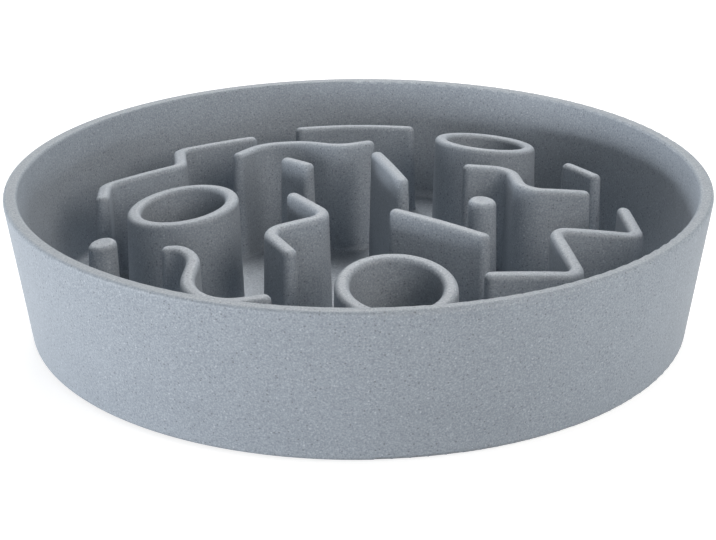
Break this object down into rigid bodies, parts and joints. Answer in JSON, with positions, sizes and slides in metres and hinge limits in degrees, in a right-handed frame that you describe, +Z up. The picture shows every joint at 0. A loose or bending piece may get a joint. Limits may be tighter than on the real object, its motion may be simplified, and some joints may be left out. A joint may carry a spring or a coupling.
{
  "type": "slow feeder bowl",
  "caption": "Round slow feeder bowl: a flat floor and a leaning side wall around a maze of rounded upright ridges, rings and posts that make a pet eat slowly.",
  "frame": {"origin": "on the ground under the middle of the bowl, at the underside of the feet", "axes": "+Z up along the bowl's axis, +Y from the side facing the viewer to the far side, +X to the viewer's right"},
  "size_m": [0.24, 0.24, 0.0513],
  "materials": {
    "composite": "moulded plant-fibre composite, blue-grey with a fine speckle, satin",
    "rubber": "soft dark grey rubber, matte"
  },
  "bodies": {
    "root": {"bowl_floor": "composite", "side_wall": "composite", "step_ridge_left": "composite", "step_ridge_right": "composite", "zigzag_ridge": "composite", "wave_ridge": "composite", "s_ridge_front": "composite", "s_ridge_right": "composite", "curved_bar": "composite", "long_bar_back": "composite", "long_bar_front": "composite", "short_bar_centre": "composite", "short_bar_right": "composite", "ring_front": "composite", "ring_back": "composite", "ring_left": "composite", "post_left": "composite", "post_right": "composite", "rubber_foot_1": "rubber", "rubber_foot_2": "rubber", "rubber_foot_3": "rubber", "rubber_foot_4": "rubber"}
  },
  "joints": []
}
